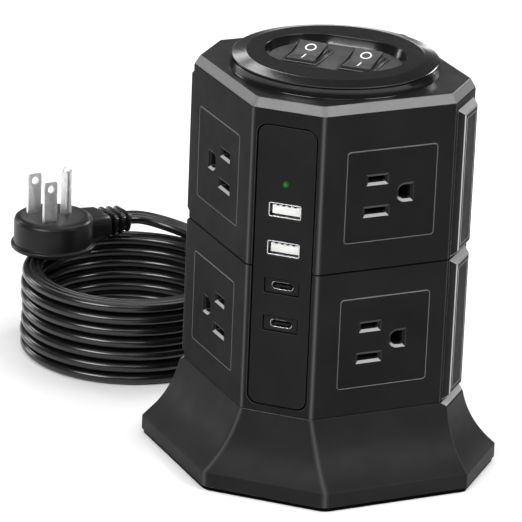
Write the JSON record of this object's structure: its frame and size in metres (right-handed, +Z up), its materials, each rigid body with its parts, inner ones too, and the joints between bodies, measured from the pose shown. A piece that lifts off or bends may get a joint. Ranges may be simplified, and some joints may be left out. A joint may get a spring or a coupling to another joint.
{
  "type": "power strip tower",
  "caption": "Two-tier octagonal power tower with grounded outlets, a USB panel, two rocker switches in a round top bezel, a flared base and a coiled flat mains lead.",
  "frame": {"origin": "centre of the base on the surface it stands on, under the column's axis", "axes": "+Z up; the wide faces look along -Y, -X, +X and +Y; the USB panel looks along -X -Y; the lead leaves on the +Y side"},
  "size_m": [0.1354, 0.2333, 0.1653],
  "materials": {
    "matte_black": "fine-textured moulded plastic",
    "satin_black": "satin moulded plastic with a light-catching chamfer",
    "cover_black": "fine-textured moulded plastic",
    "outlet_black": "satin moulded plastic",
    "panel_black": "satin moulded plastic",
    "plate_black": "matte moulded plastic",
    "rubber_foot": "matte rubber",
    "screw_steel": "zinc-plated",
    "contact_brass": "stamped brass strip",
    "port_metal": "nickel-plated shell",
    "white_tongue": "white moulded insulator",
    "led_green": "translucent lens",
    "board_green": "solder mask",
    "varistor_blue": "epoxy coated",
    "gloss_bezel": "gloss black with a finely grooved flat top",
    "tray_black": "satin moulded plastic",
    "switch_black": "satin moulded plastic",
    "rocker_black": "satin moulded plastic with white printed on and off marks",
    "breaker_black": "moulded plastic",
    "button_red": "moulded plastic",
    "wire_white": "wire insulation",
    "cord_black": "satin flexible PVC with three ribs",
    "plug_black": "satin moulded flexible plastic",
    "blade_nickel": "nickel-plated brass"
  },
  "bodies": {
    "tower": {"base_shell": "matte_black", "base_plate": "plate_black", "foot_pads": "rubber_foot", "base_screws": "screw_steel", "tier_screws": "screw_steel", "lower_tier_shell": "matte_black", "upper_tier_shell": "matte_black", "top_cover": "satin_black", "outlet_front_right_lower": "outlet_black", "outlet_front_right_upper": "outlet_black", "outlet_front_left_lower": "outlet_black", "outlet_front_left_upper": "outlet_black", "outlet_back_right_lower": "outlet_black", "outlet_back_right_upper": "outlet_black", "outlet_back_left_lower": "outlet_black", "outlet_back_left_upper": "outlet_black", "hot_clips": "contact_brass", "neutral_clips": "contact_brass", "ground_clips": "contact_brass", "hot_bus": "contact_brass", "neutral_bus": "contact_brass", "ground_bus": "contact_brass", "corner_cover_right_lower": "cover_black", "corner_cover_right_upper": "cover_black", "corner_cover_left_lower": "cover_black", "corner_cover_left_upper": "cover_black", "corner_cover_back_lower": "cover_black", "corner_cover_back_upper": "cover_black", "usb_panel": "panel_black", "usb_a_port_top": "port_metal", "usb_a_port_bottom": "port_metal", "usb_a_tongues": "white_tongue", "usb_c_port_top": "port_metal", "usb_c_port_bottom": "port_metal", "usb_c_tongues": "panel_black", "usb_c_frames": "panel_black", "led_lens": "led_green", "usb_board": "board_green", "surge_board": "board_green", "varistors": "varistor_blue", "collar_ring": "gloss_bezel", "bezel_ring": "gloss_bezel", "switch_tray": "tray_black", "switch_body_left": "switch_black", "switch_body_right": "switch_black", "switch_terminals": "contact_brass", "circuit_breaker": "breaker_black", "wire_harness": "wire_white", "cord_gland": "cord_black", "cord_lead": "cord_black", "cord_coil": "cord_black", "cord_tail": "cord_black", "plug_strain_relief": "cord_black", "plug_body": "plug_black", "plug_blades": "blade_nickel", "plug_ground_pin": "blade_nickel"},
    "rocker_left": {"rocker_left": "rocker_black"},
    "rocker_right": {"rocker_right": "rocker_black"},
    "reset_button": {"reset_button": "button_red"}
  },
  "joints": [
    {"name": "rocker_left_tilt", "type": "hinge", "parent": "tower", "child": "rocker_left", "pos_m": [-0.00799, 0.00799, 0.1586], "axis": [-0.7071, 0.7071, 0], "range_deg": [0, 18]},
    {"name": "rocker_right_tilt", "type": "hinge", "parent": "tower", "child": "rocker_right", "pos_m": [0.00799, -0.00799, 0.1586], "axis": [-0.7071, 0.7071, 0], "range_deg": [0, 18]},
    {"name": "reset_press", "type": "slide", "parent": "tower", "child": "reset_button", "axis": [0, -1, 0], "range_m": [0, 0.002], "stiffness_N_per_m": 600, "springref_m": -0.001}
  ]
}
